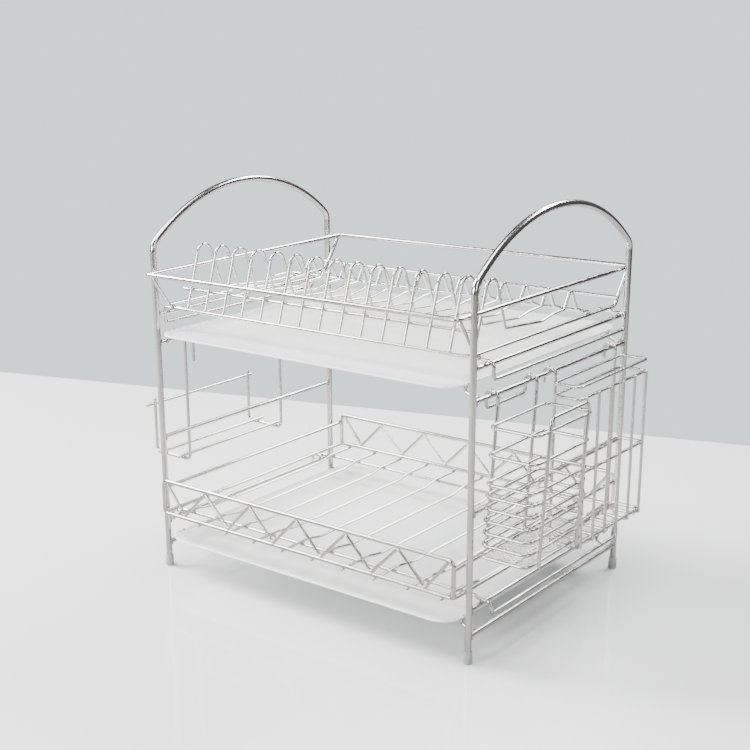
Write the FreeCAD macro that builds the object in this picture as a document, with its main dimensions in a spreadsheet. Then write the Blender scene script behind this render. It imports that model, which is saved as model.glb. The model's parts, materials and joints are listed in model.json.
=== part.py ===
import FreeCAD, Part
import math
import os
import Sketcher

# Two-tier wire dish drying rack. Millimetres, +Z up, +X along the rack, -Y the front.
# The origin is on the table, midway between the four feet.

Vector = FreeCAD.Vector
doc = FreeCAD.newDocument("DishRack")

DIMENSIONS = {
    # side frames
    "frame_span": 344.0,          # between the planes of the two side frames
    "frame_depth": 249.0,         # between the front and back legs
    "leg_tube": 5.6,
    "kink_height": 310.0,         # where the legs turn into the arch
    "arch_rise": 47.5,
    "arch_corner": 12.0,
    "rail_wire": 4.0,
    "rail_a": 246.5,              # rail heights, from the top one down
    "rail_b": 220.3,
    "rail_c": 129.5,
    "rail_d": 46.6,
    "rail_e": 23.6,
    "cap_wall": 1.1,
    "cap_round": 0.8,
    "cap_height": 11.0,
    "cap_floor": 2.0,
    # hooks that carry the trays
    "hook_wire": 3.0,
    "hook_y": 115.0,
    "hook_reach": 14.0,
    "hook_lift": 5.6,
    "hook_tip_reach": 10.7,
    "hook_tip_lift": 12.4,
    # plate basket
    "plate_side_gap": 6.0,        # the basket's side, in from the frame's plane
    "plate_wire": 4.0,
    "plate_end_wire": 3.2,
    "plate_top": 286.5,
    "plate_top_y": 139.0,
    "plate_floor_y": 113.5,
    "plate_corner": 3.0,
    "cross_wire": 3.0,
    "front_rail_y": 110.4,
    "mid_rail_rise": 14.5,
    "mid_rail_short": 8.5,        # how much shorter each of its ends is
    "rear_rail_rise": 7.3,
    "floor_rail_y": 64.0,
    # dividers, one M-shaped wire each: a tall front tooth and a low rear one
    "divider_wire": 2.6,
    "divider_count": 15,
    "divider_left": 20.3,         # from the basket's sides to the first and last one
    "divider_right": 3.7,
    "tooth_y": 86.0,
    "tooth_rise": 72.5,           # where the two legs of the front tooth would meet
    "tooth_bend": 8.8,
    "floor_rise": 11.5,
    "floor_dip": 4.5,
    "tooth_foot_y": -64.0,        # bends behind the front tooth, from the front to the back
    "dip_front_y": -8.0,
    "dip_back_y": 10.0,
    "dip_back_fall": 1.5,
    "prong_foot_y": 29.5,
    "prong_foot_fall": 0.8,
    "prong_y": 39.3,
    "prong_rise": 27.2,
    "tail_y": 51.0,
    "tail_rise": 7.5,
    # hooks that lock the baskets over rails A and D
    "lock_wire": 3.2,
    "lock_y": 107.0,
    "lock_inner": 12.0,           # its inner end, in from the plate basket's side
    "lock_step_start": 5.4,       # where it steps down to its rest, in from the frame's plane
    "lock_step_end": 2.0,
    "plate_lock_out": 7.2,
    "plate_lock_drop": 10.5,
    "plate_lock_rise": 1.2,
    "carrier_joint": 0.3,         # where its runs meet its bent ends, out from the bowl basket's side
    "bowl_lock_out": 10.5,
    "bowl_lock_drop": 6.0,
    "bowl_lock_rise": 2.2,
    # bowl basket
    "bowl_side_gap": 8.0,
    "bowl_y": 135.0,
    "bowl_top": 91.0,
    "bowl_wire": 3.6,
    "bowl_corner": 6.0,
    "zigzag_wire": 2.8,
    "zigzag_waves": 6,
    "zigzag_bend": 2.2,
    "floor_wire": 2.8,
    "floor_count": 10,
    "floor_margin": 11.0,         # from the basket's sides to the first and last one
    "floor_wire_past": 1.0,
    "floor_wire_dip": 3.2,
    "floor_bend_start": 6.0,      # the dip's bends, in from the lock wires
    "floor_bend_end": 26.0,
    # drip trays
    "tray_side_gap": 8.0,
    "tray_y": 138.8,
    "tray_depth": 17.0,
    "tray_corner": 22.0,
    "tray_shoulder": 14.0,
    "tray_wall": 1.6,
    # utensil basket
    "hanger_wire": 3.0,
    "hanger_radius": 5.4,
    "utensil_wire": 2.8,
    "utensil_front": -111.0,
    "utensil_back": -25.0,
    "utensil_width": 42.6,
    "utensil_corner": 6.0,
    "utensil_top": 199.5,
    "utensil_wide_step": 22.5,
    "utensil_step": 9.8,
    "utensil_hook_front": -97.0,
    "utensil_hook_back": -38.0,
    "utensil_tail": 11.5,
    "utensil_loop_top": 211.0,
    "utensil_lean": 0.1,          # the basket's foot leans forward by this share of its height
    "mesh_sheet": 1.0,
    "mesh_strand": 1.3,
    "mesh_pitch": 11.0,
    # knife basket
    "knife_front": -15.0,
    "knife_back": 104.0,
    "knife_width": 24.5,
    "knife_top": 213.5,
    "knife_second": 203.0,
    "knife_third": 137.5,
    "knife_bottom": 74.0,
    "knife_tail": 9.0,
    "knife_hook_inset": 7.0,
    "knife_bars": 6,
    "knife_floor_bars": 7,
    "knife_bar_inset": 6.0,
    "knife_floor_inset": 8.0,
    # cutting board holder
    "board_front": -85.0,
    "board_back": 50.0,
    "board_tail": 24.0,
    "board_bottom": 96.0,
    "board_lip": 150.0,
    "board_bar_wire": 3.0,
    "board_bar_past": 8.0,        # how far its bars run past the arms
    "board_lip_bar_drop": 6.0,
    "board_outer_inset": 12.0,    # the two lower bars, in from the arms' two ends
    "board_inner_inset": 8.0,
    # clearances
    "weld": 0.05,                 # how far welded wires sink into each other
    "rest_gap": 0.25,             # between a hook and the rail or tray that it carries
    "hang_gap": 0.3,              # between a basket's hanger and its rail
}

sheet = doc.addObject("Spreadsheet::Sheet", "Sizes")
for row, (alias, value) in enumerate(DIMENSIONS.items(), start=1):
    cell = "A%d" % row
    sheet.set(cell, str(value))
    sheet.setAlias(cell, alias)
doc.recompute()


class Sizes:
    """Reads a driving dimension from the spreadsheet by its alias."""

    def __getattr__(self, alias):
        return float(sheet.get(alias))


size = Sizes()
nodes = []


def rounded_path(points, bend, closed=False):
    """Straight runs joined by tangent arcs; bend is one radius, or one for each inner corner."""
    points = [Vector(*p) for p in points]
    count = len(points)
    corners = range(count) if closed else range(1, count - 1)
    radii = list(bend) if isinstance(bend, (list, tuple)) else [bend] * len(corners)
    arcs = {}
    for radius, i in zip(radii, corners):
        corner = points[i]
        to_last = (points[i - 1] - corner).normalize()
        to_next = (points[(i + 1) % count] - corner).normalize()
        half = to_last.getAngle(to_next) / 2
        inset = radius / math.tan(half)
        middle = (to_last + to_next).normalize()
        crown = corner + middle * (radius / math.sin(half) - radius)
        arcs[i] = (corner + to_last * inset, crown, corner + to_next * inset)
    path = []
    start = arcs[0][2] if closed else points[0]
    for i in list(range(1, count)) + ([0] if closed else []):
        end = arcs[i][0] if i in arcs else points[i]
        path.append(Part.LineSegment(start, end))
        if i in arcs:
            path.append(Part.Arc(*arcs[i]))
            start = arcs[i][2]
    return path


def origin_plane(body, role):
    return [f for f in body.Origin.OriginFeatures if f.Role == role][0]


def swept_body(label, plane, path, diameter_alias, placement):
    """A bent wire in one plane: a round profile swept along a sketched path."""
    body = doc.addObject("PartDesign::Body", label)
    body.Label = label
    route = body.newObject("Sketcher::SketchObject", label + "_route")
    route.AttachmentSupport = [(origin_plane(body, plane), "")]
    route.MapMode = "FlatFace"
    for piece in path:
        route.addGeometry(piece, False)
    doc.recompute()
    section = body.newObject("Sketcher::SketchObject", label + "_section")
    section.AttachmentSupport = [(route, "Edge1")]
    section.MapMode = "NormalToEdge"
    section.MapPathParameter = 0.0
    circle = Part.Circle(Vector(0, 0, 0), Vector(0, 0, 1), getattr(size, diameter_alias) / 2)
    section.addGeometry(circle, False)
    section.addConstraint(Sketcher.Constraint("Coincident", 0, 3, -1, 1))
    index = section.addConstraint(Sketcher.Constraint("Diameter", 0, getattr(size, diameter_alias)))
    section.renameConstraint(index, "Diameter")
    section.setExpression("Constraints.Diameter", "Sizes." + diameter_alias)
    doc.recompute()
    pipe = body.newObject("PartDesign::AdditivePipe", label + "_pipe")
    pipe.Profile = section
    pipe.Spine = (route, ["Edge%d" % (i + 1) for i in range(len(path))])
    body.Tip = pipe
    body.Placement = placement
    nodes.append(body)
    return body


def straight_wire(label, diameter_alias, length, start, direction, keep=True):
    """A straight wire from start along direction."""
    rod = doc.addObject("Part::Cylinder", label)
    rod.Label = label
    rod.setExpression("Radius", "Sizes.%s / 2" % diameter_alias)
    rod.Height = length
    turn = FreeCAD.Rotation(Vector(0, 0, 1), Vector(*direction))
    rod.Placement = FreeCAD.Placement(Vector(*start), turn)
    if keep:
        nodes.append(rod)
    return rod


def sweep_path(path, diameter):
    """A round wire swept along a path that may leave its plane."""
    spine = Part.Wire([piece.toShape() for piece in path])
    begin = path[0].StartPoint
    heading = (path[0].EndPoint - begin).normalize()
    ring = Part.Wire([Part.Circle(begin, heading, diameter / 2).toShape()])
    solid = spine.makePipeShell([ring], True, False)
    if solid.Volume < 0:
        solid.reverse()
    return solid


def wire_solid(points, bend, diameter, closed=False):
    """A bent wire through points, as a plain solid."""
    return sweep_path(rounded_path(points, bend, closed), diameter)


def shape_node(label, shapes, placement=None):
    """A node whose shape is set here: one solid, or a group of separate solids."""
    feature = doc.addObject("Part::Feature", label)
    feature.Label = label
    feature.Shape = shapes[0] if len(shapes) == 1 else Part.makeCompound(shapes)
    if placement:
        feature.Placement = placement
    nodes.append(feature)
    return feature


def at(x=0.0, y=0.0, z=0.0, turn=None):
    return FreeCAD.Placement(Vector(x, y, z), turn or FreeCAD.Rotation())


def flat(pairs):
    """Points of a sketch, in the sketch's own plane."""
    return [(a, b, 0.0) for a, b in pairs]


SIDES = {"left": -1, "right": 1}
frame_x = size.frame_span / 2
leg_y = size.frame_depth / 2
plate_half = frame_x - size.plate_side_gap
bowl_half = frame_x - size.bowl_side_gap
tray_half = frame_x - size.tray_side_gap
RAILS = ["a", "b", "c", "d", "e"]

# Side frames: one bent tube each, two legs and the arch between them
arch_radius = (leg_y ** 2 + size.arch_rise ** 2) / (2 * size.arch_rise)
arch_centre = size.kink_height + size.arch_rise - arch_radius
corner_y = leg_y - size.arch_corner
corner_z = arch_centre + math.sqrt((arch_radius - size.arch_corner) ** 2 - corner_y ** 2)
reach = arch_radius / (arch_radius - size.arch_corner)
turn_y = corner_y * reach
turn_z = arch_centre + (corner_z - arch_centre) * reach
bisector = Vector(leg_y + turn_y - 2 * corner_y, turn_z - corner_z, 0).normalize() * size.arch_corner
outer_turn = Vector(corner_y, corner_z, 0) + bisector
tube_path = [
    Part.LineSegment(Vector(-leg_y, size.cap_floor, 0), Vector(-leg_y, corner_z, 0)),
    Part.Arc(Vector(-leg_y, corner_z, 0), Vector(-outer_turn.x, outer_turn.y, 0), Vector(-turn_y, turn_z, 0)),
    Part.Arc(Vector(-turn_y, turn_z, 0), Vector(0, arch_centre + arch_radius, 0), Vector(turn_y, turn_z, 0)),
    Part.Arc(Vector(turn_y, turn_z, 0), outer_turn, Vector(leg_y, corner_z, 0)),
    Part.LineSegment(Vector(leg_y, corner_z, 0), Vector(leg_y, size.cap_floor, 0)),
]
rail_end = leg_y - size.leg_tube / 2 + 3 * size.weld
for side, sign in SIDES.items():
    swept_body("frame_tube_" + side, "YZ_Plane", tube_path, "leg_tube", at(x=sign * frame_x))
    for name in RAILS:
        rail = straight_wire(
            "rail_%s_%s" % (name, side), "rail_wire", 2 * rail_end,
            (sign * frame_x, -rail_end, getattr(size, "rail_" + name)), (0, 1, 0))
        rail.setExpression("Placement.Base.z", "Sizes.rail_" + name)

# Soft caps on the four feet
cap_bore = size.leg_tube / 2 + size.weld
cap_radius = cap_bore + size.cap_wall
caps = []
for x in (-frame_x, frame_x):
    for y in (-leg_y, leg_y):
        cap = Part.makeCylinder(cap_radius, size.cap_height, Vector(x, y, 0))
        bore = Part.makeCylinder(cap_bore, size.cap_height, Vector(x, y, size.cap_floor))
        cap = cap.cut(bore)
        rims = [e for e in cap.Edges if e.Curve.TypeId == "Part::GeomCircle"
                and abs(e.Curve.Radius - cap_radius) < 1e-6]
        caps.append(cap.makeFillet(size.cap_round, rims))
shape_node("foot_caps", caps)

# Small J hooks welded to rails B and E, which the trays rest on
elbow = Vector(-size.hook_reach, 0, size.hook_lift)
root = Vector(elbow).normalize() * (size.rail_wire / 2 - size.weld)
tip = Vector(-size.hook_tip_reach, 0, size.hook_tip_lift)
hooks = []
for name in ("b", "e"):
    for sign in SIDES.values():
        for y in (-size.hook_y, size.hook_y):
            points = [(sign * (frame_x + p.x), y, getattr(size, "rail_" + name) + p.z)
                      for p in (root, elbow, tip)]
            hooks.append(wire_solid(points, 2.4, size.hook_wire))
shape_node("tray_hooks", hooks)

# Drip trays: the rounded shoulder of each long side rests on the tips of four hooks
tip_run = Vector(size.hook_reach - size.hook_tip_reach, size.hook_tip_lift - size.hook_lift, 0).normalize()
tip_x = frame_x - size.hook_tip_reach
shoulder_x = tray_half - size.tray_shoulder
seats = []
for edge in (-1, 1):
    point_x = tip_x + edge * tip_run.y * size.hook_wire / 2
    point_z = size.hook_tip_lift - edge * tip_run.x * size.hook_wire / 2
    span = size.tray_shoulder + size.rest_gap
    seats.append(point_z + math.sqrt(span ** 2 - (point_x - shoulder_x) ** 2))
tray_bottom = max(seats) - size.tray_shoulder
for level, name in (("upper", "b"), ("lower", "e")):
    body = doc.addObject("PartDesign::Body", "drip_tray_" + level)
    body.Label = "drip_tray_" + level
    outline = body.newObject("Sketcher::SketchObject", "tray_outline_" + level)
    outline.AttachmentSupport = [(origin_plane(body, "XY_Plane"), "")]
    outline.MapMode = "FlatFace"
    corners = [(-1, -1), (1, -1), (1, 1), (-1, 1)]
    for i in range(4):
        start = Vector(corners[i][0] * tray_half, corners[i][1] * size.tray_y, 0)
        end = Vector(corners[i - 3][0] * tray_half, corners[i - 3][1] * size.tray_y, 0)
        outline.addGeometry(Part.LineSegment(start, end), False)
    for i in range(4):
        outline.addConstraint(Sketcher.Constraint("Coincident", i, 2, (i + 1) % 4, 1))
    for i in (0, 2):
        outline.addConstraint(Sketcher.Constraint("Horizontal", i))
        outline.addConstraint(Sketcher.Constraint("Vertical", i + 1))
    outline.addConstraint(Sketcher.Constraint("Symmetric", 0, 1, 1, 2, -1, 1))
    length = outline.addConstraint(Sketcher.Constraint("DistanceX", 0, 1, 0, 2, 2 * tray_half))
    width = outline.addConstraint(Sketcher.Constraint("DistanceY", 1, 1, 1, 2, 2 * size.tray_y))
    outline.renameConstraint(length, "Length")
    outline.renameConstraint(width, "Width")
    outline.setExpression("Constraints.Length", "Sizes.frame_span - 2 * Sizes.tray_side_gap")
    outline.setExpression("Constraints.Width", "Sizes.tray_y * 2")
    block = body.newObject("PartDesign::Pad", "tray_block_" + level)
    block.Profile = outline
    block.setExpression("Length", "Sizes.tray_depth")
    doc.recompute()
    uprights = ["Edge%d" % (i + 1) for i, e in enumerate(block.Shape.Edges)
                if abs(e.tangentAt(e.FirstParameter).z) > 0.99]
    rounded = body.newObject("PartDesign::Fillet", "tray_corners_" + level)
    rounded.Base = (block, uprights)
    rounded.setExpression("Radius", "Sizes.tray_corner")
    doc.recompute()
    under = ["Edge%d" % (i + 1) for i, e in enumerate(rounded.Shape.Edges)
             if e.BoundBox.ZMax < 1e-6]
    shoulder = body.newObject("PartDesign::Fillet", "tray_shoulder_" + level)
    shoulder.Base = (rounded, under)
    shoulder.setExpression("Radius", "Sizes.tray_shoulder")
    doc.recompute()
    top = ["Face%d" % (i + 1) for i, f in enumerate(shoulder.Shape.Faces)
           if f.BoundBox.ZMin > size.tray_depth - 1e-6]
    shell = body.newObject("PartDesign::Thickness", "tray_shell_" + level)
    shell.Base = (shoulder, top)
    shell.setExpression("Value", "Sizes.tray_wall")
    shell.Reversed = True
    body.Tip = shell
    body.Placement = at(z=getattr(size, "rail_" + name) + tray_bottom)
    nodes.append(body)


def lock_points(inner, out, run_z, rest_z, low_z):
    """Half of a lock wire in XZ, from inside the basket, over the rail and down outside it."""
    return [
        (inner, run_z),
        (frame_x - size.lock_step_start, run_z),
        (frame_x - size.lock_step_end, rest_z),
        (frame_x + out, rest_z),
        (frame_x + out, low_z),
    ]


LOCK_BENDS = [2.4, 2.4, 4.4, 3.2]

# Plate basket. Its lock wires cross over rails A, so the basket hangs on the two side frames
rail_top_a = size.rail_a + size.rail_wire / 2
plate_rest = rail_top_a + size.lock_wire / 2 + size.rest_gap
plate_run = plate_rest + size.plate_lock_rise
plate_floor = plate_run + (size.lock_wire + size.plate_end_wire) / 2 - size.weld
loop = flat([(-plate_half, -size.plate_top_y), (plate_half, -size.plate_top_y),
             (plate_half, size.plate_top_y), (-plate_half, size.plate_top_y)])
top_frame = swept_body("plate_basket_top_frame", "XY_Plane",
                       rounded_path(loop, size.plate_corner, closed=True), "plate_wire", at(z=size.plate_top))
top_frame.setExpression("Placement.Base.z", "Sizes.plate_top")

# the end wires: a flat run with both ends sloping up and out to the top frame's corners
aim_y = size.plate_top_y - size.plate_corner
slant = Vector(aim_y - size.plate_floor_y, size.plate_top - plate_floor, 0).normalize()
end_reach = (size.plate_wire / 2 - size.weld + size.plate_end_wire / 2 * slant.x) / slant.y
end_top = Vector(aim_y, size.plate_top, 0) - slant * end_reach
end_points = flat([(-end_top.x, end_top.y), (-size.plate_floor_y, plate_floor),
                   (size.plate_floor_y, plate_floor), (end_top.x, end_top.y)])
for side, sign in SIDES.items():
    swept_body("plate_basket_end_" + side, "YZ_Plane", rounded_path(end_points, 4.0),
               "plate_end_wire", at(x=sign * plate_half))

# the front rail runs under the end wires, the floor rail over them, the rear one up their slope
cross_half = plate_half + size.plate_end_wire / 2
stacked = (size.plate_end_wire + size.cross_wire) / 2 - size.weld
front_rail_z = plate_floor - stacked
floor_rail_z = plate_floor + stacked
rear_rail_z = plate_floor + size.rear_rail_rise
rear_rail_y = size.plate_floor_y + size.rear_rail_rise * slant.x / slant.y - stacked / slant.y
for name, y, z in (("front", -size.front_rail_y, front_rail_z),
                   ("floor", size.floor_rail_y, floor_rail_z),
                   ("rear", rear_rail_y, rear_rail_z)):
    straight_wire("plate_basket_%s_rail" % name, "cross_wire", 2 * cross_half,
                  (-cross_half, y, z), (1, 0, 0))

# M-shaped dividers stand on the front rail and end on the floor rail
front_rail = Vector(-size.front_rail_y, front_rail_z, 0)
floor_rail = Vector(size.floor_rail_y, floor_rail_z, 0)
tooth = Vector(-size.tooth_y, plate_floor + size.tooth_rise, 0)
floor_z = plate_floor + size.floor_rise
last_bend = Vector(size.tail_y, plate_floor + size.tail_rise, 0)
front_leg = (tooth - front_rail).normalize()
tail = (last_bend - floor_rail).normalize()
seat = size.cross_wire / 2 - size.weld
divider_points = [
    front_rail + front_leg * seat,
    tooth,
    Vector(size.tooth_foot_y, floor_z, 0),
    Vector(size.dip_front_y, floor_z - size.floor_dip, 0),
    Vector(size.dip_back_y, floor_z - size.dip_back_fall, 0),
    Vector(size.prong_foot_y, floor_z - size.prong_foot_fall, 0),
    Vector(size.prong_y, plate_floor + size.prong_rise, 0),
    last_bend,
    floor_rail + tail * seat,
]
divider_path = rounded_path(divider_points, [size.tooth_bend, 2.0, 10.0, 8.0, 2.0, 3.0, 2.0])
divider_gaps = size.divider_count - 1
divider_pitch = (2 * plate_half - size.divider_left - size.divider_right) / divider_gaps
for i in range(int(size.divider_count)):
    x = -plate_half + size.divider_left + i * divider_pitch
    divider = swept_body("plate_divider_%02d" % (i + 1), "YZ_Plane", divider_path, "divider_wire", at(x=x))
    divider.setExpression(
        "Placement.Base.x",
        "Sizes.plate_side_gap - Sizes.frame_span / 2 + Sizes.divider_left"
        " + %d * (Sizes.frame_span - 2 * Sizes.plate_side_gap - Sizes.divider_left"
        " - Sizes.divider_right) / (Sizes.divider_count - 1)" % i)

# a second front rail lies behind the dividers' front legs
mid_z = plate_floor + size.mid_rail_rise
leg_at_mid = front_rail.x + (mid_z - front_rail.y) * front_leg.x / front_leg.y
mid_y = leg_at_mid + ((size.cross_wire + size.divider_wire) / 2 - size.weld) / front_leg.y
mid_half = plate_half - size.mid_rail_short
straight_wire("plate_basket_mid_rail", "cross_wire", 2 * mid_half, (-mid_half, mid_y, mid_z), (1, 0, 0))

plate_low = size.rail_a - size.plate_lock_drop
half_lock = lock_points(plate_half - size.lock_inner, size.plate_lock_out, plate_run, plate_rest, plate_low)
for side, sign in SIDES.items():
    points = [(sign * x, -size.lock_y, z) for x, z in half_lock]
    points += [(sign * x, size.lock_y, z) for x, z in reversed(half_lock)]
    shape_node("plate_basket_lock_" + side,
               [wire_solid(points, LOCK_BENDS + LOCK_BENDS[::-1], size.lock_wire)])

# Bowl basket. Its carrier is one closed wire: two cross runs, and a lock over each rail D.
# It is built as four solids that meet end to end
rail_top_d = size.rail_d + size.rail_wire / 2
bowl_rest = rail_top_d + size.lock_wire / 2 + size.rest_gap
bowl_run = bowl_rest + size.bowl_lock_rise
floor_wire_z = bowl_run + (size.lock_wire + size.floor_wire) / 2 - size.weld
bowl_floor = floor_wire_z + (size.floor_wire + size.bowl_wire) / 2 - size.weld
joint_x = bowl_half + size.carrier_joint
half_carrier = lock_points(joint_x - size.weld, size.bowl_lock_out, bowl_run, bowl_rest,
                           size.rail_d - size.bowl_lock_drop)
carrier = [Part.makeCylinder(size.lock_wire / 2, 2 * joint_x, Vector(-joint_x, y, bowl_run), Vector(1, 0, 0))
           for y in (-size.lock_y, size.lock_y)]
for sign in SIDES.values():
    points = [(sign * x, -size.lock_y, z) for x, z in half_carrier]
    points += [(sign * x, size.lock_y, z) for x, z in reversed(half_carrier)]
    carrier.append(wire_solid(points, LOCK_BENDS + LOCK_BENDS[::-1], size.lock_wire))
shape_node("bowl_basket_carrier", carrier)

floor_half = size.bowl_y + size.floor_wire_past
bend_start = size.lock_y - size.floor_bend_start
bend_end = size.lock_y - size.floor_bend_end
floor_profile = [
    (-floor_half, 0.0), (-bend_start, 0.0), (-bend_end, -size.floor_wire_dip),
    (bend_end, -size.floor_wire_dip), (bend_start, 0.0), (floor_half, 0.0),
]
floor_first = size.floor_margin - bowl_half
floor_pitch = -2 * floor_first / (size.floor_count - 1)
shape_node("bowl_basket_floor_wires", [
    wire_solid([(floor_first + i * floor_pitch, y, floor_wire_z + z) for y, z in floor_profile],
               12.0, size.floor_wire)
    for i in range(int(size.floor_count))])

loop = flat([(-bowl_half, -size.bowl_y), (bowl_half, -size.bowl_y),
             (bowl_half, size.bowl_y), (-bowl_half, size.bowl_y)])
swept_body("bowl_basket_bottom_frame", "XY_Plane", rounded_path(loop, 4.0, closed=True),
           "bowl_wire", at(z=bowl_floor))

post_foot = bowl_floor + size.bowl_wire / 2 - size.weld
wall_points = flat([(-bowl_half, post_foot), (-bowl_half, size.bowl_top),
                    (bowl_half, size.bowl_top), (bowl_half, post_foot)])
wave = 2 * bowl_half / size.zigzag_waves
inset = (size.bowl_wire + size.zigzag_wire) / 2 - size.weld
zigzag_slope = math.atan2(wave / 2, size.bowl_top - bowl_floor - 2 * inset)
crown = size.zigzag_bend / math.sin(zigzag_slope) - size.zigzag_bend
low = bowl_floor + inset - crown
high = size.bowl_top - inset + crown
zigzag_end = bowl_half - size.bowl_corner
zigzag_points = [(-zigzag_end, high - crown)]
for i in range(int(size.zigzag_waves)):
    zigzag_points.append((-bowl_half + (i + 0.5) * wave, low))
    if i < size.zigzag_waves - 1:
        zigzag_points.append((-bowl_half + (i + 1) * wave, high))
zigzag_points.append((zigzag_end, high - crown))
for name, sign in (("front", -1), ("rear", 1)):
    swept_body("bowl_basket_%s_frame" % name, "XZ_Plane",
               rounded_path(wall_points, size.bowl_corner), "bowl_wire", at(y=sign * size.bowl_y))
    swept_body("bowl_basket_%s_zigzag" % name, "XZ_Plane",
               rounded_path(flat(zigzag_points), size.zigzag_bend), "zigzag_wire",
               at(y=sign * size.bowl_y))

bowl_side_z = size.bowl_top - size.bowl_corner - size.bowl_wire / 2
bowl_side_y = size.bowl_y - size.bowl_wire / 2 + size.weld
shape_node("bowl_basket_side_rails", [
    Part.makeCylinder(size.bowl_wire / 2, 2 * bowl_side_y,
                      Vector(sign * bowl_half, -bowl_side_y, bowl_side_z), Vector(0, 1, 0))
    for sign in SIDES.values()])

# Hangers hook over rails B: up outside the rail, round over it and down inside it
hang_z = size.rail_b + size.rail_wire / 2 + size.hang_gap + size.hanger_wire / 2 - size.hanger_radius
hang_outer = frame_x + size.hanger_radius
hang_inner = frame_x - size.hanger_radius


def hanger_path(points, y, sign, tail_z):
    """The points below a hanger, its upright, the arc over rail B and the straight tail."""
    start = Vector(sign * hang_outer, y, hang_z)
    crown = Vector(sign * frame_x, y, hang_z + size.hanger_radius)
    end = Vector(sign * hang_inner, y, hang_z)
    path = rounded_path(points + [tuple(start)], 5.0)
    path.append(Part.Arc(start, crown, end))
    path.append(Part.LineSegment(end, Vector(sign * hang_inner, y, tail_z)))
    return path


def backwards(path):
    """The same path run from its end back to its start."""
    result = []
    for piece in reversed(path):
        if isinstance(piece, Part.LineSegment):
            result.append(Part.LineSegment(piece.EndPoint, piece.StartPoint))
        else:
            middle = piece.value((piece.FirstParameter + piece.LastParameter) / 2)
            result.append(Part.Arc(piece.EndPoint, middle, piece.StartPoint))
    return result


def leaned(y, z):
    """Where a point of the utensil basket ends up at height z."""
    return y - size.utensil_lean * (hang_z - z)


# Utensil basket: nine hoops between a double hanger and an outer loop, with a mesh floor
hoop_inner = hang_outer + (size.hanger_wire + size.utensil_wire) / 2 - size.weld
hoop_outer = hoop_inner + size.utensil_width
hoop_levels = [size.utensil_top - i * size.utensil_wide_step for i in range(3)]
hoop_levels += [hoop_levels[-1] - (i + 1) * size.utensil_step for i in range(6)]
hoop_floor = hoop_levels[-1]
hoops = []
for z in hoop_levels:
    front = leaned(size.utensil_front, z)
    back = leaned(size.utensil_back, z)
    ring_points = [(hoop_inner, front, z), (hoop_outer, front, z),
                   (hoop_outer, back, z), (hoop_inner, back, z)]
    hoops.append(wire_solid(ring_points, size.utensil_corner, size.utensil_wire, closed=True))
shape_node("utensil_basket_hoops", hoops)

hanger_foot = hoop_floor - size.utensil_wire
tail_end = size.rail_b - size.utensil_tail
tail_start = tail_end + 4.0
hook_path = {}
for y in (size.utensil_hook_front, size.utensil_hook_back):
    foot = (hang_outer, leaned(y, hanger_foot), hanger_foot)
    knee = (hang_outer, y, hang_z - 6.0)
    hook_path[y] = hanger_path([foot, knee], y, 1, tail_start)
tail_bar = rounded_path([(hang_inner, size.utensil_hook_front, tail_start),
                         (hang_inner, size.utensil_hook_front, tail_end),
                         (hang_inner, size.utensil_hook_back, tail_end),
                         (hang_inner, size.utensil_hook_back, tail_start)], 3.2)
back_path = backwards(hook_path[size.utensil_hook_back])
shape_node("utensil_basket_hanger", [
    sweep_path(hook_path[size.utensil_hook_front] + tail_bar + back_path, size.hanger_wire)])

loop_x = hoop_outer + (size.utensil_wire + size.hanger_wire) / 2 - size.weld
loop_points = []
for y, z in ((size.utensil_hook_front, hanger_foot), (size.utensil_hook_front, size.utensil_loop_top),
             (size.utensil_hook_back, size.utensil_loop_top), (size.utensil_hook_back, hanger_foot)):
    loop_points.append((leaned(y, z), z, 0.0))
swept_body("utensil_basket_outer_loop", "YZ_Plane", rounded_path(loop_points, 6.0),
           "hanger_wire", at(x=loop_x))

mesh_edge = (size.utensil_wire - size.weld) / 2
mesh_x0 = hoop_inner + mesh_edge
mesh_x1 = hoop_outer - mesh_edge
mesh_y0 = leaned(size.utensil_front, hoop_floor) + mesh_edge
mesh_y1 = leaned(size.utensil_back, hoop_floor) - mesh_edge
mesh_z = hoop_floor - size.mesh_sheet / 2
window = Part.makeBox(mesh_x1 - mesh_x0, mesh_y1 - mesh_y0, size.mesh_sheet, Vector(mesh_x0, mesh_y0, mesh_z))
window = window.makeFillet(size.utensil_corner - size.utensil_wire / 2,
                           [e for e in window.Edges if abs(e.tangentAt(e.FirstParameter).z) > 0.99])
run = mesh_x1 - mesh_x0
band = size.mesh_strand * math.sqrt(2)
strands = []
for i in range(int((mesh_y1 - mesh_y0 + run) / size.mesh_pitch) + 2):
    for rise, y in ((run, mesh_y0 - run + i * size.mesh_pitch), (-run, mesh_y0 + i * size.mesh_pitch)):
        outline = Part.makePolygon([
            Vector(mesh_x0, y, mesh_z), Vector(mesh_x1, y + rise, mesh_z),
            Vector(mesh_x1, y + rise + band, mesh_z), Vector(mesh_x0, y + band, mesh_z),
            Vector(mesh_x0, y, mesh_z)])
        strands.append(Part.Face(outline).extrude(Vector(0, 0, size.mesh_sheet)))
mesh = strands[0].multiFuse(strands[1:]).common(window)
shape_node("utensil_basket_mesh", mesh.Solids)

# Knife basket: four rims, upright bars and a barred floor on two hooks
rim_inner = hang_outer + (size.hanger_wire + size.utensil_wire) / 2 - size.weld
rim_outer = rim_inner + size.knife_width
rims = []
for z in (size.knife_top, size.knife_second, size.knife_third, size.knife_bottom):
    ring_points = [(rim_inner, size.knife_front, z), (rim_outer, size.knife_front, z),
                   (rim_outer, size.knife_back, z), (rim_inner, size.knife_back, z)]
    rims.append(wire_solid(ring_points, 4.0, size.utensil_wire, closed=True))
shape_node("knife_basket_rims", rims)

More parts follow.
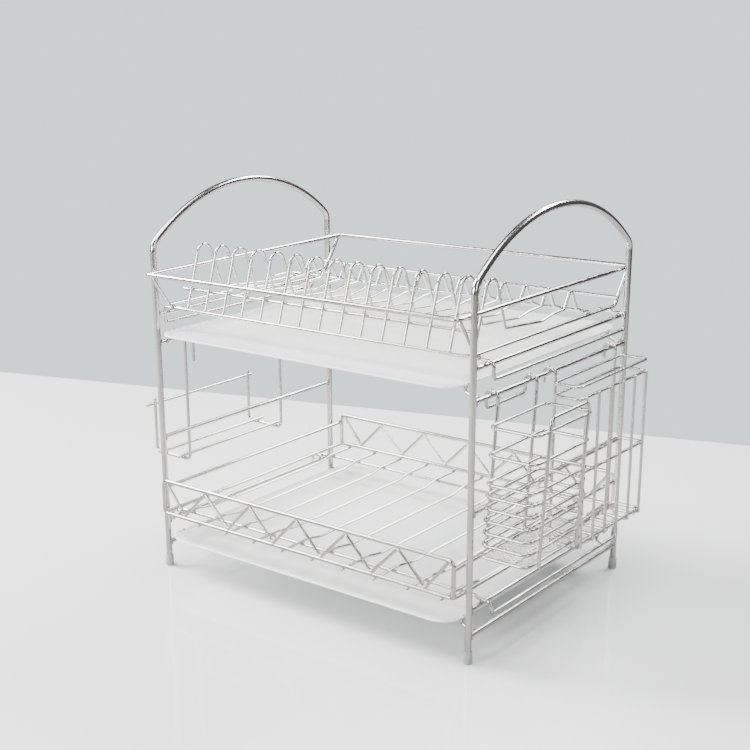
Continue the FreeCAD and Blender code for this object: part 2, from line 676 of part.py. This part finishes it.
rim_foot = size.knife_bottom - size.utensil_wire / 2
knife_hooks = []
for y in (size.knife_front + size.knife_hook_inset, size.knife_back - size.knife_hook_inset):
    path = hanger_path([(hang_outer, y, rim_foot)], y, 1, size.rail_b - size.knife_tail)
    knife_hooks.append(sweep_path(path, size.hanger_wire))
shape_node("knife_basket_hooks", knife_hooks)

bar_x = rim_outer + size.utensil_wire - size.weld
bar_top = size.knife_second + size.utensil_wire / 2
bars = []
knife_length = size.knife_back - size.knife_front
bar_step = (knife_length - 2 * size.knife_bar_inset) / (size.knife_bars - 1)
for i in range(int(size.knife_bars)):
    y = size.knife_front + size.knife_bar_inset + i * bar_step
    bars.append(Part.makeCylinder(size.utensil_wire / 2, bar_top - rim_foot, Vector(bar_x, y, rim_foot)))
floor_bar_z = size.knife_bottom - size.utensil_wire + size.weld
floor_step = (knife_length - 2 * size.knife_floor_inset) / (size.knife_floor_bars - 1)
for i in range(int(size.knife_floor_bars)):
    y = size.knife_front + size.knife_floor_inset + i * floor_step
    bars.append(Part.makeCylinder(size.utensil_wire / 2, size.knife_width,
                                  Vector(rim_inner, y, floor_bar_z), Vector(1, 0, 0)))
shape_node("knife_basket_bars", bars)

# Cutting board holder on the left: two J arms joined by three bars, as wide as the utensil basket
bar_gap = (size.hanger_wire + size.board_bar_wire) / 2 - size.weld
arm_x = loop_x + size.hanger_wire / 2 - size.board_bar_wire / 2 - bar_gap
arms = []
for y in (size.board_front, size.board_back):
    points = [(-arm_x, y, size.board_lip), (-arm_x, y, size.board_bottom),
              (-hang_outer, y, size.board_bottom)]
    path = hanger_path(points, y, -1, size.rail_b - size.board_tail)
    arms.append(sweep_path(path, size.hanger_wire))
shape_node("board_holder_arms", arms)
bar_length = size.board_back - size.board_front + 2 * size.board_bar_past
shape_node("board_holder_bars", [
    Part.makeCylinder(size.board_bar_wire / 2, bar_length,
                      Vector(x, size.board_front - size.board_bar_past, z), Vector(0, 1, 0))
    for x, z in ((-arm_x - bar_gap, size.board_lip - size.board_lip_bar_drop),
                 (-arm_x + size.board_outer_inset, size.board_bottom + bar_gap),
                 (-hang_outer - size.board_inner_inset, size.board_bottom + bar_gap))])

doc.recompute()
failed = [o.Name for o in doc.Objects if "Invalid" in o.State or "Error" in o.State]
if failed:
    raise RuntimeError("failed objects: %s" % failed)
for node in nodes:
    if node.Shape.isNull() or not node.Shape.isValid():
        raise RuntimeError("bad shape: %s" % node.Label)
os.makedirs("parts", exist_ok=True)
for node in nodes:
    node.Shape.exportStep(os.path.join("parts", node.Label + ".step"))
print("%d nodes written" % len(nodes))
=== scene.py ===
import bpy
import bmesh
import json
import math
from mathutils import Matrix, Vector
from mathutils.bvhtree import BVHTree
from mathutils.geometry import intersect_ray_tri


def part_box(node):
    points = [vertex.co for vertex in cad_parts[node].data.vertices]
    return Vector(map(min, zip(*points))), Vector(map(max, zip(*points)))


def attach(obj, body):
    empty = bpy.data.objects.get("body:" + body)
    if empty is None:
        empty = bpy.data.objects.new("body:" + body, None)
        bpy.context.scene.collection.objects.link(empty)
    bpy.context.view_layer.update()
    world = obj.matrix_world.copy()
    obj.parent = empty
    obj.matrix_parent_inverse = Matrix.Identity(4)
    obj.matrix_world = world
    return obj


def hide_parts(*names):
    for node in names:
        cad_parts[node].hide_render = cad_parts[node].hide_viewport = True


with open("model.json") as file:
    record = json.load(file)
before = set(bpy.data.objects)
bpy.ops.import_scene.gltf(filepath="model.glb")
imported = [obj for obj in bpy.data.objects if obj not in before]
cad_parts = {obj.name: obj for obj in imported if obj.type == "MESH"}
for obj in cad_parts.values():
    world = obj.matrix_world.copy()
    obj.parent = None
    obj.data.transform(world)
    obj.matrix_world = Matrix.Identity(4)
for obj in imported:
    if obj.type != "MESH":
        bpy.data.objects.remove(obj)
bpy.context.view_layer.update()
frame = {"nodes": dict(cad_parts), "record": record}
bodies = frame["record"]["behaviour"]["bodies"]
print("dish rack frame loaded:", len(frame["nodes"]), "nodes")


# helpers that the finishes share
def newFinish(name):
    finish = bpy.data.materials.new(name)
    finish.use_nodes = True
    tree = finish.node_tree
    shader = tree.nodes["Principled BSDF"]
    place = tree.nodes.new("ShaderNodeTexCoord")
    return finish, tree, shader, place.outputs["Object"]


def speckle(tree, where, scale, detail=2.0, rough=0.5):
    noise = tree.nodes.new("ShaderNodeTexNoise")
    noise.inputs["Scale"].default_value = scale
    noise.inputs["Detail"].default_value = detail
    noise.inputs["Roughness"].default_value = rough
    tree.links.new(where, noise.inputs["Vector"])
    return noise.outputs["Fac"]


def spread(tree, value, low, high, fromLow=0.3, fromHigh=0.7):
    remap = tree.nodes.new("ShaderNodeMapRange")
    remap.inputs["From Min"].default_value = fromLow
    remap.inputs["From Max"].default_value = fromHigh
    remap.inputs["To Min"].default_value = low
    remap.inputs["To Max"].default_value = high
    tree.links.new(value, remap.inputs["Value"])
    return remap.outputs["Result"]


def twoTone(tree, value, first, second):
    ramp = tree.nodes.new("ShaderNodeValToRGB")
    ramp.color_ramp.elements[0].position = 0.35
    ramp.color_ramp.elements[1].position = 0.65
    ramp.color_ramp.elements[0].color = (*first, 1)
    ramp.color_ramp.elements[1].color = (*second, 1)
    tree.links.new(value, ramp.inputs["Fac"])
    return ramp.outputs["Color"]


def relief(tree, value, distance, strength=1.0, under=None):
    bump = tree.nodes.new("ShaderNodeBump")
    bump.inputs["Strength"].default_value = strength
    bump.inputs["Distance"].default_value = distance
    tree.links.new(value, bump.inputs["Height"])
    if under is not None:
        tree.links.new(under, bump.inputs["Normal"])
    return bump.outputs["Normal"]


# the finishes, one dictionary of looks for each
steelLooks = {
    "frameSteel": {"light": (0.62, 0.61, 0.59), "dark": (0.53, 0.52, 0.50),
                   "smooth": 0.15, "dull": 0.22, "wave": 0.00002, "grain": 0.000003},
    "wireSteel": {"light": (0.62, 0.61, 0.59), "dark": (0.52, 0.51, 0.49),
                  "smooth": 0.15, "dull": 0.23, "wave": 0.00003, "grain": 0.000003},
    "weldSteel": {"light": (0.52, 0.495, 0.46), "dark": (0.34, 0.32, 0.29),
                  "smooth": 0.26, "dull": 0.46, "wave": 0.00030, "grain": 0.000030},
}
steelScale = {"cloud": 38.0, "rub": 260.0, "wave": 70.0, "grain": 2600.0, "grainStrength": 0.6}


def polishedSteel(name):
    look = steelLooks[name]
    finish, tree, shader, where = newFinish(name)
    shader.inputs["Metallic"].default_value = 1.0
    cloudy = speckle(tree, where, steelScale["cloud"], 3.0)
    tree.links.new(twoTone(tree, cloudy, look["dark"], look["light"]), shader.inputs["Base Color"])
    rubbed = speckle(tree, where, steelScale["rub"], 4.0, 0.6)
    tree.links.new(spread(tree, rubbed, look["smooth"], look["dull"]), shader.inputs["Roughness"])
    # slight waviness of drawn wire, then its fine grain
    bent = relief(tree, speckle(tree, where, steelScale["wave"], 1.0), look["wave"])
    fine = speckle(tree, where, steelScale["grain"], 2.0)
    tree.links.new(relief(tree, fine, look["grain"], steelScale["grainStrength"], bent),
                   shader.inputs["Normal"])
    return finish


trayLook = {"light": (0.89, 0.895, 0.895), "dark": (0.85, 0.858, 0.86), "smooth": 0.13, "dull": 0.24,
            "flow": 0.00035, "skin": 0.00002, "skinStrength": 0.5, "coat": 0.35, "coatRoughness": 0.06,
            "glow": 0.06, "glowDepth": 0.004,
            "toneScale": 7.0, "rubScale": 42.0, "flowScale": 14.0, "skinScale": 900.0}


def glossyPlastic(name):
    finish, tree, shader, where = newFinish(name)
    tone = speckle(tree, where, trayLook["toneScale"])
    tree.links.new(twoTone(tree, tone, trayLook["dark"], trayLook["light"]), shader.inputs["Base Color"])
    rubbed = speckle(tree, where, trayLook["rubScale"], 5.0, 0.65)
    tree.links.new(spread(tree, rubbed, trayLook["smooth"], trayLook["dull"]), shader.inputs["Roughness"])
    # mould flow, seen only in the gloss, then the skin
    flow = relief(tree, speckle(tree, where, trayLook["flowScale"], 1.0), trayLook["flow"])
    skin = speckle(tree, where, trayLook["skinScale"])
    tree.links.new(relief(tree, skin, trayLook["skin"], trayLook["skinStrength"], flow),
                   shader.inputs["Normal"])
    shader.inputs["Coat Weight"].default_value = trayLook["coat"]
    shader.inputs["Coat Roughness"].default_value = trayLook["coatRoughness"]
    shader.inputs["Subsurface Weight"].default_value = trayLook["glow"]
    shader.inputs["Subsurface Scale"].default_value = trayLook["glowDepth"]
    return finish


capLook = {"light": (0.60, 0.605, 0.63), "dark": (0.47, 0.475, 0.50), "clear": 0.45, "bend": 1.46,
           "smooth": 0.28, "dull": 0.45, "skin": 0.00006,
           "toneScale": 160.0, "rubScale": 420.0, "skinScale": 1500.0}


def softCapPlastic(name):
    finish, tree, shader, where = newFinish(name)
    tone = speckle(tree, where, capLook["toneScale"], 3.0)
    tree.links.new(twoTone(tree, tone, capLook["dark"], capLook["light"]), shader.inputs["Base Color"])
    rubbed = speckle(tree, where, capLook["rubScale"], 3.0)
    tree.links.new(spread(tree, rubbed, capLook["smooth"], capLook["dull"]), shader.inputs["Roughness"])
    skin = speckle(tree, where, capLook["skinScale"])
    tree.links.new(relief(tree, skin, capLook["skin"]), shader.inputs["Normal"])
    shader.inputs["Transmission Weight"].default_value = capLook["clear"]
    shader.inputs["IOR"].default_value = capLook["bend"]
    return finish


# the gloss colour here is a painted reflection: the darker grey that glossy rays see in place of the pale
# table
tableLook = {"light": (0.765, 0.771, 0.777), "dark": (0.745, 0.752, 0.762), "smooth": 0.05, "dull": 0.09,
             "shine": 0.75, "paintedReflectionGrey": (0.33, 0.33, 0.325), "toneScale": 2.2, "rubScale": 9.0}


def glossyTable(name):
    finish, tree, shader, where = newFinish(name)
    tone = speckle(tree, where, tableLook["toneScale"])
    tree.links.new(twoTone(tree, tone, tableLook["dark"], tableLook["light"]), shader.inputs["Base Color"])
    rubbed = speckle(tree, where, tableLook["rubScale"], 3.0)
    tree.links.new(spread(tree, rubbed, tableLook["smooth"], tableLook["dull"]), shader.inputs["Roughness"])
    shader.inputs["Specular IOR Level"].default_value = tableLook["shine"]
    # painted reflection: glossy rays see the table as a dark grey diffuse instead of its pale finish, so the
    # steel shows a painted darker table, standing in for dark cards set round it
    rays, mix = tree.nodes.new("ShaderNodeLightPath"), tree.nodes.new("ShaderNodeMixShader")
    paintedReflectionShader = tree.nodes.new("ShaderNodeBsdfDiffuse")
    paintedReflectionShader.inputs["Color"].default_value = (*tableLook["paintedReflectionGrey"], 1)
    tree.links.new(rays.outputs["Is Glossy Ray"], mix.inputs["Fac"])
    tree.links.new(shader.outputs["BSDF"], mix.inputs[1])
    tree.links.new(paintedReflectionShader.outputs["BSDF"], mix.inputs[2])
    tree.links.new(mix.outputs["Shader"], tree.nodes["Material Output"].inputs["Surface"])
    return finish


frameSteel = polishedSteel("frameSteel")
wireSteel = polishedSteel("wireSteel")
weldSteel = polishedSteel("weldSteel")
trayPlastic = glossyPlastic("trayPlastic")
capPlastic = softCapPlastic("capPlastic")
print("finishes made")


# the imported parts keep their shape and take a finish
def finishFor(node):
    if node.startswith(("frame_tube", "rail_")):
        return frameSteel
    if node.startswith("drip_tray"):
        return trayPlastic
    if node == "foot_caps":
        return capPlastic
    return wireSteel


for node, part in frame["nodes"].items():
    part.data.materials.clear()
    part.data.materials.append(finishFor(node))
print("packed parts finished")


def keepPiece(bm, name, finish, body, smooth=True):
    mesh = bpy.data.meshes.new(name)
    for face in bm.faces:
        face.smooth = smooth
    bm.to_mesh(mesh)
    bm.free()
    piece = bpy.data.objects.new(name, mesh)
    bpy.context.scene.collection.objects.link(piece)
    mesh.materials.append(finish)
    if body:
        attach(piece, body)
    return piece


trayShape = {
    "planRadius": 0.022,     # corners seen from above
    "planSteps": 12,
    "shoulder": 0.014,       # round between wall and floor
    "shoulderSteps": 10,
    "wall": 0.0017,
    "lipRound": 0.0007,
    "gutter": 0.007,         # flat channel round the raised floor
    "step": 0.0014,          # the floor stands this much above the channel
    "stepRun": 0.0016,
    "ease": 0.0015,          # narrow faces that keep the shading of each bend tight
    "floorEase": 0.002,
    "lipSteps": 4,
    "lipAngle": 50,
}


def makeTray(name, node, body):
    low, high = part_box(node)
    wall, shoulder = trayShape["wall"], trayShape["shoulder"] - trayShape["wall"]
    bm = bmesh.new()
    bmesh.ops.create_grid(bm, x_segments=1, y_segments=1, size=0.5)
    bmesh.ops.scale(bm, vec=(high.x - low.x - 2 * wall, high.y - low.y - 2 * wall, 1), verts=bm.verts)
    middle = (low + high) / 2
    bmesh.ops.translate(bm, vec=(middle.x, middle.y, high.z), verts=bm.verts)
    bmesh.ops.bevel(bm, geom=bm.verts[:], affect="VERTICES", offset=trayShape["planRadius"] - wall,
                    segments=trayShape["planSteps"], profile=0.5, material=-1)
    inside = max(bm.faces, key=lambda f: f.calc_area())

    # Known fault: without use_boundary=True this adds no faces and only moves the one it is given,
    # so the tray comes out as a flat sheet, with no wall, shoulder, channel or raised floor.
    def goIn(across, down):
        bmesh.ops.inset_region(bm, faces=[inside], thickness=across, depth=-down, use_even_offset=True)

    straight = high.z - low.z - wall - shoulder
    goIn(0.0, straight)
    steps = trayShape["shoulderSteps"]
    for i in range(steps):                                    # the shoulder, a quarter circle
        a, b = math.pi / 2 * i / steps, math.pi / 2 * (i + 1) / steps
        goIn(shoulder * (math.cos(a) - math.cos(b)), shoulder * (math.sin(b) - math.sin(a)))
    ease = trayShape["ease"]
    goIn(ease, 0)
    goIn(trayShape["gutter"] - 2 * ease, 0)
    goIn(ease, 0)
    goIn(trayShape["stepRun"], -trayShape["step"])
    goIn(trayShape["floorEase"], 0)
    bmesh.ops.remove_doubles(bm, verts=bm.verts, dist=1e-7)
    tray = keepPiece(bm, name, trayPlastic, body)
    shell = tray.modifiers.new("wall", "SOLIDIFY")
    shell.thickness, shell.offset, shell.use_even_offset = wall, -1, True
    lip = tray.modifiers.new("lip", "BEVEL")
    lip.width, lip.segments = trayShape["lipRound"], trayShape["lipSteps"]
    lip.limit_method, lip.angle_limit = "ANGLE", math.radians(trayShape["lipAngle"])
    even = tray.modifiers.new("even", "WEIGHTED_NORMAL")
    even.keep_sharp = True
    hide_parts(node)


makeTray("upperDripTray", "drip_tray_upper", "upper_tray")
makeTray("lowerDripTray", "drip_tray_lower", "lower_tray")
print("drip trays made")


capShape = {
    "tubeRadius": 0.00282,           # the bore that the leg stands in
    "floorThick": 0.00195,
    "toe": 0.0007,                   # round of the foot
    "groove": 0.00042,
    "grooveAt": (0.0030, 0.0046),    # heights of the two grip grooves
    "grooveHigh": 0.0006,
    "taper": 0.00035,
    "rimDown": (0.0011, 0.0006, 0.00015),
    "rimRound": 0.0003,
    "boreLead": 0.0002,
    "turns": 40,
}


def capOutline(outer, tall):
    toe, groove, high = capShape["toe"], capShape["groove"], capShape["grooveHigh"]
    neck, bore, floor = outer - capShape["taper"], capShape["tubeRadius"], capShape["floorThick"]
    outline = [(0, 0), (outer - toe * 1.6, 0), (outer - toe * 0.4, toe * 0.3), (outer, toe)]
    for at in capShape["grooveAt"]:
        outline += [(outer, at), (outer - groove, at + high / 2), (outer, at + high)]
    below, bulge, above = (tall - down for down in capShape["rimDown"])
    outline += [(neck, below), (outer - capShape["taper"] * 0.6, bulge), (neck, above),
                (neck - capShape["rimRound"], tall), (bore + capShape["boreLead"], tall),
                (bore, tall - capShape["rimRound"]), (bore, floor), (0, floor)]
    return outline


def makeFootCaps():
    low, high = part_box("foot_caps")
    left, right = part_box("frame_tube_left"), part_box("frame_tube_right")
    outer = high.x - (right[1].x - (left[1].x - left[0].x) / 2)
    outline = capOutline(outer, high.z - low.z)
    one = bmesh.new()
    ring = [one.verts.new((r, 0, z)) for r, z in outline]
    for a, b in zip(ring, ring[1:]):
        one.edges.new((a, b))
    bmesh.ops.spin(one, geom=one.verts[:] + one.edges[:], cent=(0, 0, 0), axis=(0, 0, 1),
                   angle=2 * math.pi, steps=capShape["turns"], use_merge=True)
    bmesh.ops.remove_doubles(one, verts=one.verts, dist=1e-6)
    bmesh.ops.recalc_face_normals(one, faces=one.faces)
    cap = bpy.data.meshes.new("footCap")
    one.to_mesh(cap)
    one.free()
    bm = bmesh.new()
    for x in (low.x + outer, high.x - outer):
        for y in (low.y + outer, high.y - outer):
            before = set(bm.verts)
            bm.from_mesh(cap)
            bmesh.ops.translate(bm, vec=(x, y, low.z), verts=[v for v in bm.verts if v not in before])
    caps = keepPiece(bm, "footCaps", capPlastic, "stand")
    bpy.data.meshes.remove(cap)
    even = caps.modifiers.new("even", "WEIGHTED_NORMAL")
    even.keep_sharp = True
    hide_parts("foot_caps")


makeFootCaps()
print("foot caps made")


# fine mesh in the floor of the utensil basket
meshShape = {"pitch": 0.0030, "strand": 0.0006, "cornerCut": 0.0019, "lay": 45, "spare": 1.5,
             "tooNear": 0.00015}


def makeMeshFloor():
    low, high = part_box("utensil_basket_mesh")
    size, middle = high - low, (low + high) / 2
    cells = round(meshShape["spare"] * size.y / meshShape["pitch"])
    bm = bmesh.new()
    lay = Matrix.Rotation(math.radians(meshShape["lay"]), 4, "Z")
    bmesh.ops.create_grid(bm, x_segments=cells, y_segments=cells, size=cells * meshShape["pitch"] / 2,
                          matrix=Matrix.Translation(middle) @ lay)
    sides = [(Vector((size.x / 2, 0, 0)), Vector((1, 0, 0))), (Vector((0, size.y / 2, 0)), Vector((0, 1, 0)))]
    corner = Vector((size.x / 2 - meshShape["cornerCut"], size.y / 2 - meshShape["cornerCut"], 0))
    sides += [(corner, Vector((1, 1, 0))), (Vector((corner.x, -corner.y, 0)), Vector((1, -1, 0)))]
    for point, outward in sides:
        for sign in (1, -1):
            bmesh.ops.bisect_plane(bm, geom=bm.verts[:] + bm.edges[:] + bm.faces[:], dist=1e-6,
                                   plane_co=middle + point * sign, plane_no=outward * sign, clear_outer=True)
    bmesh.ops.remove_doubles(bm, verts=bm.verts, dist=meshShape["tooNear"])
    bmesh.ops.wireframe(bm, faces=bm.faces[:], thickness=meshShape["strand"], offset=0, use_replace=True,
                        use_boundary=True, use_even_offset=True)
    bmesh.ops.recalc_face_normals(bm, faces=bm.faces)
    floor = keepPiece(bm, "utensilMeshFloor", wireSteel, "utensil_basket")
    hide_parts("utensil_basket_mesh")


makeMeshFloor()
print("mesh floor made")


# weld beads where wires of one body touch, and rounded cut ends
weldShape = {
    "near": 0.0004,          # wires whose boxes are this close may touch
    "reach": 0.00016,        # how far each wire is grown to find where it touches
    "apart": 0.0030,
    "clear": 0.00035,
    "smallest": 0.0011,
    "largest": 0.0030,
    "flat": 0.42,
    "around": 10,
    "up": 6,
}
tipShape = {
    "flatWithin": 0.6,       # degrees, faces of one cut end
    "fewestSides": 9,
    "widest": 0.0030,
    "roundness": 0.94,
    "inset": 0.995,
    "bulge": 0.5,
    "around": 14,
    "up": 8,
}
plainNodes = ("foot_caps", "utensil_basket_mesh")    # replaced pieces, with no welds


def mergedCopy(node):
    bm = bmesh.new()
    bm.from_mesh(frame["nodes"][node].data)
    bmesh.ops.remove_doubles(bm, verts=bm.verts, dist=1e-6)
    bm.normal_update()
    return bm


def grownTree(node):
    bm = mergedCopy(node)
    for v in bm.verts:
        v.co += v.normal * weldShape["reach"]
    bmesh.ops.triangulate(bm, faces=bm.faces)
    points = [v.co.copy() for v in bm.verts]
    faces = [[v.index for v in f.verts] for f in bm.faces]
    normals = [f.normal.copy() for f in bm.faces]
    bm.free()
    return {"tree": BVHTree.FromPolygons(points, faces), "points": points, "faces": faces, "normals": normals}


def crossings(one, other):
    found = []
    for a, b in one["tree"].overlap(other["tree"]):
        lean = one["normals"][a] - other["normals"][b]
        for first, ia, second, ib in ((one, a, other, b), (other, b, one, a)):
            corner = [first["points"][i] for i in first["faces"][ia]]
            target = [second["points"][i] for i in second["faces"][ib]]
            for p, q in ((corner[0], corner[1]), (corner[1], corner[2]), (corner[2], corner[0])):
                hit = intersect_ray_tri(*target, q - p, p, True)
                if hit is not None and (hit - p).dot(q - p) >= 0 and (hit - p).length <= (q - p).length:
                    found.append((hit, lean))
    return found


def grouped(found):
    groups = []
    for point, lean in found:
        for group in groups:
            if (group["points"][0] - point).length < weldShape["apart"]:
                group["points"].append(point)
                group["lean"] += lean
                break
        else:
            groups.append({"points": [point], "lean": lean.copy()})
    return groups


def addBead(bm, centre, up, wide, tall, around, rows):
    turn = up.to_track_quat("Z", "Y").to_matrix().to_4x4()
    place = Matrix.Translation(centre) @ turn @ Matrix.Diagonal((wide, wide, tall, 1))
    bmesh.ops.create_uvsphere(bm, u_segments=around, v_segments=rows, radius=1, matrix=place)


def touching(a, b):
    (al, ah), (bl, bh) = boxes[a], boxes[b]
    near = weldShape["near"]
    return all(al[i] < bh[i] + near and bl[i] < ah[i] + near for i in range(3))


def makeWelds(body, name):
    nodes = [n for n in bodies[body] if n not in plainNodes]
    bm, count = bmesh.new(), 0
    for i, a in enumerate(nodes):
        for b in nodes[i + 1:]:
            if not touching(a, b):
                continue
            for group in grouped(crossings(grown[a], grown[b])):
                centre = sum(group["points"], Vector()) / len(group["points"])
                wide = max((p - centre).length for p in group["points"]) + weldShape["clear"]
                wide = min(max(wide, weldShape["smallest"]), weldShape["largest"])
                up = group["lean"] if group["lean"].length > 1e-6 else Vector((0, 0, 1))
                addBead(bm, centre, up, wide, wide * weldShape["flat"],
                        weldShape["around"], weldShape["up"])
                count += 1
    keepPiece(bm, name, weldSteel, body)
    print(name, count)


def makeTips(body, name):
    bm, count = bmesh.new(), 0
    for node in bodies[body]:
        if node.startswith("frame_tube") or node in plainNodes:
            continue
        copy = mergedCopy(node)
        bmesh.ops.dissolve_limit(copy, angle_limit=math.radians(tipShape["flatWithin"]),
                                 verts=copy.verts, edges=copy.edges)
        for face in copy.faces:
            if len(face.verts) < tipShape["fewestSides"]:
                continue
            centre = sum((v.co for v in face.verts), Vector()) / len(face.verts)
            spans = [(v.co - centre).length for v in face.verts]
            if max(spans) < tipShape["widest"] and min(spans) > tipShape["roundness"] * max(spans):
                wide = max(spans) * tipShape["inset"]
                addBead(bm, centre, face.normal, wide, wide * tipShape["bulge"],
                        tipShape["around"], tipShape["up"])
                count += 1
        copy.free()
    keepPiece(bm, name, wireSteel, body)
    print(name, count)


wireBodies = {"stand": "stand", "plate_basket": "plateBasket", "bowl_basket": "bowlBasket",
              "utensil_basket": "utensilBasket", "knife_basket": "knifeBasket", "board_holder": "boardHolder"}
boxes = {n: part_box(n) for b in wireBodies for n in bodies[b]}
grown = {n: grownTree(n) for b in wireBodies for n in bodies[b] if n not in plainNodes}
for body, label in wireBodies.items():
    makeWelds(body, label + "Welds")
    makeTips(body, label + "Tips")
print("welds and wire ends made")


tableShape = {
    "back": ((-0.926, 0.254), (0.126, 0.568)),    # two points on its back edge
    "past": 1.1,                                  # how far it goes on at each side of them
    "front": 2.0,
    "thick": 0.03,
    "edge": 0.004,
    "edgeSteps": 3,
}


def makeTable():
    start, end = (Vector((*p, 0)) for p in tableShape["back"])
    run = (end - start).normalized()
    toFront = Vector((run.y, -run.x, 0))
    bm = bmesh.new()
    bmesh.ops.create_cube(bm, size=1)
    long, paintedReflectionShader = (end - start).length + 2 * tableShape["past"], tableShape["front"]
    bmesh.ops.scale(bm, vec=(long, paintedReflectionShader, tableShape["thick"]), verts=bm.verts)
    bmesh.ops.bevel(bm, geom=bm.edges[:], affect="EDGES", offset=tableShape["edge"],
                    segments=tableShape["edgeSteps"], profile=0.5, material=-1)
    turn = Matrix.Rotation(math.atan2(run.y, run.x), 4, "Z")
    middle = (start + end) / 2 + toFront * paintedReflectionShader / 2 - Vector((0, 0, tableShape["thick"] / 2))
    bmesh.ops.transform(bm, matrix=Matrix.Translation(middle) @ turn, verts=bm.verts)
    table = keepPiece(bm, "tableTop", glossyTable("paleTable"), None, smooth=False)


makeTable()

lampAim = (0, 0, 0.17)
lampList = [
    {"name": "keySoftbox", "at": (-1.7, -0.5, 1.6), "size": (1.1, 1.2), "power": 185,
     "tint": (1.0, 0.99, 0.97)},
    {"name": "sideSoftbox", "at": (1.9, -0.7, 1.2), "size": (0.4, 1.5), "power": 18,
     "tint": (1.0, 1.0, 1.0)},
    {"name": "backSoftbox", "at": (0.3, 1.7, 1.7), "size": (1.8, 0.6), "power": 100,
     "tint": (0.98, 0.99, 1.0)},
    {"name": "topSoftbox", "at": (0.1, -0.1, 2.4), "size": (1.1, 1.1), "power": 55,
     "tint": (1.0, 1.0, 1.0)},
    {"name": "frontSoftbox", "at": (-0.5, -2.0, 0.8), "size": (0.9, 0.7), "power": 62,
     "tint": (1.0, 1.0, 1.0)},
]


def makeLamps():
    for lamp in lampList:
        light = bpy.data.lights.new(lamp["name"], "AREA")
        light.shape, light.size, light.size_y = "RECTANGLE", *lamp["size"]
        light.energy, light.color = lamp["power"], lamp["tint"]
        holder = bpy.data.objects.new(lamp["name"], light)
        holder.location = lamp["at"]
        holder.rotation_euler = (Vector(lampAim) - holder.location).to_track_quat("-Z", "Y").to_euler()
        bpy.context.scene.collection.objects.link(holder)


makeLamps()

roomTone = {"wall": (0.87, 0.985, 1.0), "wallStrength": 1.42,
            "around": (1.0, 0.97, 0.93), "aroundStrength": 0.11}


def makeRoom():
    room = bpy.data.worlds.new("room")
    room.use_nodes = True
    tree = room.node_tree
    around = tree.nodes["Background"]                 # what lights the rack and shows in the steel
    around.inputs["Color"].default_value = (*roomTone["around"], 1)
    around.inputs["Strength"].default_value = roomTone["aroundStrength"]
    wall = tree.nodes.new("ShaderNodeBackground")     # the plain pale wall that is seen
    wall.inputs["Color"].default_value = (*roomTone["wall"], 1)
    wall.inputs["Strength"].default_value = roomTone["wallStrength"]
    rays, mix = tree.nodes.new("ShaderNodeLightPath"), tree.nodes.new("ShaderNodeMixShader")
    tree.links.new(rays.outputs["Is Camera Ray"], mix.inputs["Fac"])
    tree.links.new(around.outputs["Background"], mix.inputs[1])
    tree.links.new(wall.outputs["Background"], mix.inputs[2])
    tree.links.new(mix.outputs["Shader"], tree.nodes["World Output"].inputs["Surface"])
    bpy.context.scene.world = room


makeRoom()

cameraPlace = {"at": (0.7056, -0.9517, 0.5005), "yaw": 0.6899, "pitch": 0.3106, "roll": -0.0169,
               "lens": 63.81, "sensor": 36, "shiftX": 0.0692, "shiftY": 0.0968, "clip": (0.01, 50)}


def makeCamera():
    yaw, pitch, roll = cameraPlace["yaw"], cameraPlace["pitch"], cameraPlace["roll"]
    ahead = Vector((-math.sin(yaw) * math.cos(pitch), math.cos(yaw) * math.cos(pitch), -math.sin(pitch)))
    right = Vector((math.cos(yaw), math.sin(yaw), 0))
    up = right.cross(ahead)
    tiltedRight = right * math.cos(roll) + up * math.sin(roll)
    tiltedUp = up * math.cos(roll) - right * math.sin(roll)
    lens = bpy.data.cameras.new("camera")
    lens.sensor_width, lens.lens = cameraPlace["sensor"], cameraPlace["lens"]
    lens.shift_x, lens.shift_y = cameraPlace["shiftX"], cameraPlace["shiftY"]
    lens.clip_start, lens.clip_end = cameraPlace["clip"]
    camera = bpy.data.objects.new("camera", lens)
    turn = Matrix((tiltedRight, tiltedUp, -ahead)).transposed().to_4x4()
    camera.matrix_world = Matrix.Translation(cameraPlace["at"]) @ turn
    bpy.context.scene.collection.objects.link(camera)
    bpy.context.scene.camera = camera


makeCamera()
print("table, light and camera made")
